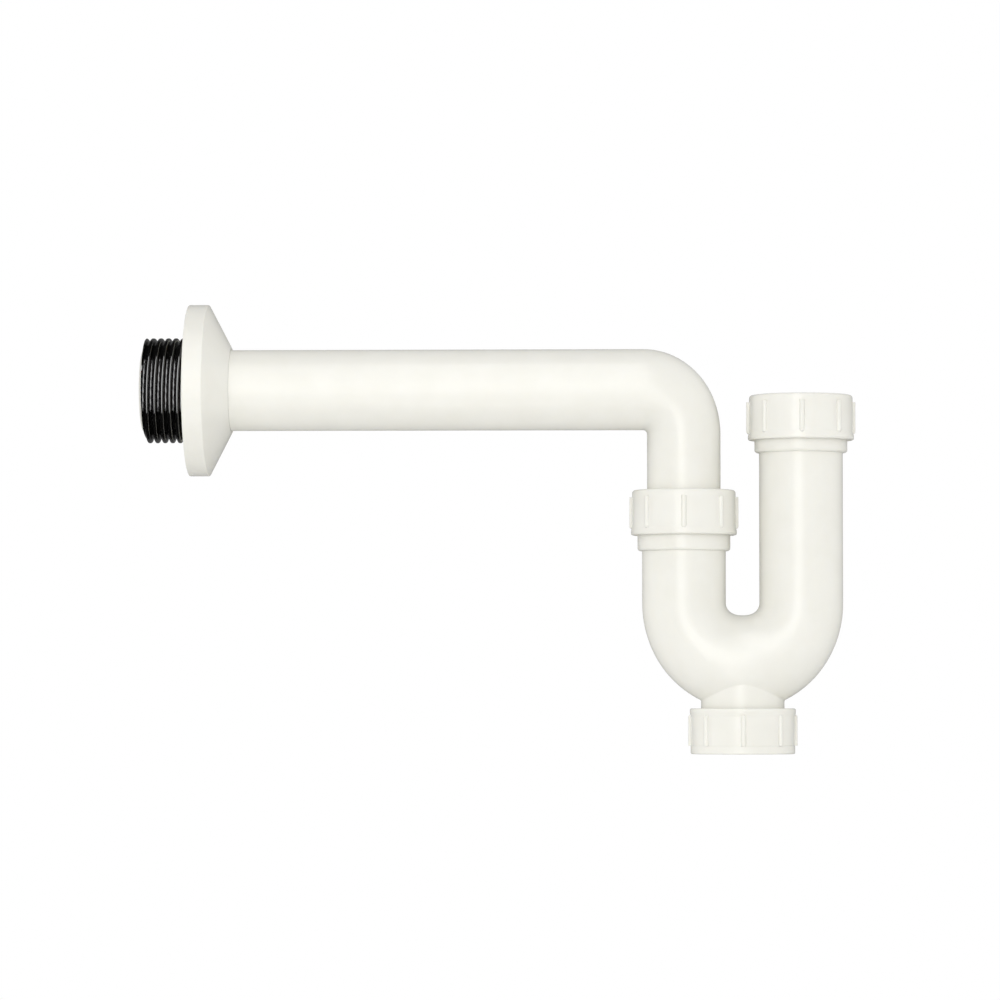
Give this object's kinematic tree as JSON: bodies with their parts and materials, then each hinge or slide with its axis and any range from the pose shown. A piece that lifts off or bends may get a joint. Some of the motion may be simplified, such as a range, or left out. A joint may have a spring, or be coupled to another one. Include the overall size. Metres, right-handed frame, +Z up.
{
  "type": "waste trap",
  "caption": "Tubular basin waste trap: U-bend with a screw-off cleanout cap, slip-joint nuts, a swivelling outlet arm, a sliding wall flange and a threaded rubber wall sleeve.",
  "frame": {"origin": "centre of the inlet socket, at the top of its parallel bore", "axes": "+Z up along the inlet axis, the way the tailpiece leaves; +X away from the wall, along the outlet arm; Y across"},
  "size_m": [0.3114, 0.075, 0.1963],
  "materials": {
    "trap_plastic": "smooth moulded gloss",
    "nut_plastic": "smooth moulded gloss",
    "ring_plastic": "natural matt",
    "sleeve_rubber": "smooth black rubber with a soft sheen",
    "washer_rubber": "matt dark rubber"
  },
  "bodies": {
    "trap": {"trap_body": "trap_plastic", "inlet_washer": "washer_rubber"},
    "inlet_ring": {"inlet_friction_ring": "ring_plastic"},
    "inlet_nut": {"inlet_nut": "nut_plastic"},
    "outlet_ring": {"outlet_friction_ring": "ring_plastic"},
    "outlet_nut": {"outlet_nut": "nut_plastic"},
    "outlet_seal": {"outlet_washer": "washer_rubber"},
    "arm": {"outlet_arm": "trap_plastic", "wall_sleeve": "sleeve_rubber"},
    "flange": {"wall_flange": "nut_plastic"},
    "cap_gasket": {"cleanout_gasket": "washer_rubber"},
    "cap": {"cleanout_cap": "nut_plastic"}
  },
  "joints": [
    {"name": "inlet_nut_rise", "type": "slide", "parent": "trap", "child": "inlet_ring", "axis": [0, 0, 1], "range_m": [0, 0.01201]},
    {"name": "inlet_nut_turn", "type": "hinge", "parent": "inlet_ring", "child": "inlet_nut", "pos_m": [0, 0, 0], "axis": [0, 0, 1], "range_deg": [0, 1440]},
    {"name": "outlet_nut_rise", "type": "slide", "parent": "trap", "child": "outlet_ring", "axis": [0, 0, 1], "range_m": [0, 0.01201]},
    {"name": "outlet_nut_turn", "type": "hinge", "parent": "outlet_ring", "child": "outlet_nut", "pos_m": [-0.051, 0, 0], "axis": [0, 0, 1], "range_deg": [0, 1440]},
    {"name": "arm_swivel", "type": "hinge", "parent": "trap", "child": "outlet_seal", "pos_m": [-0.051, 0, 0], "axis": [0, 0, 1], "range_deg": [-120, 120]},
    {"name": "arm_slip", "type": "slide", "parent": "outlet_seal", "child": "arm", "axis": [0, 0, 1], "range_m": [-0.006, 0.01]},
    {"name": "flange_slide", "type": "slide", "parent": "arm", "child": "flange", "axis": [1, 0, 0], "range_m": [0, 0.15]},
    {"name": "cap_drop", "type": "slide", "parent": "trap", "child": "cap_gasket", "axis": [0, 0, -1], "range_m": [0, 0.01201]},
    {"name": "cap_turn", "type": "hinge", "parent": "cap_gasket", "child": "cap", "pos_m": [-0.0255, 0, 0], "axis": [0, 0, -1], "range_deg": [0, 1440]}
  ],
  "couplings": [
    {"joint": "inlet_nut_rise", "follows": "inlet_nut_turn", "m_per_rad": 0.00047746},
    {"joint": "outlet_nut_rise", "follows": "outlet_nut_turn", "m_per_rad": 0.00047746},
    {"joint": "cap_drop", "follows": "cap_turn", "m_per_rad": 0.00047746}
  ]
}
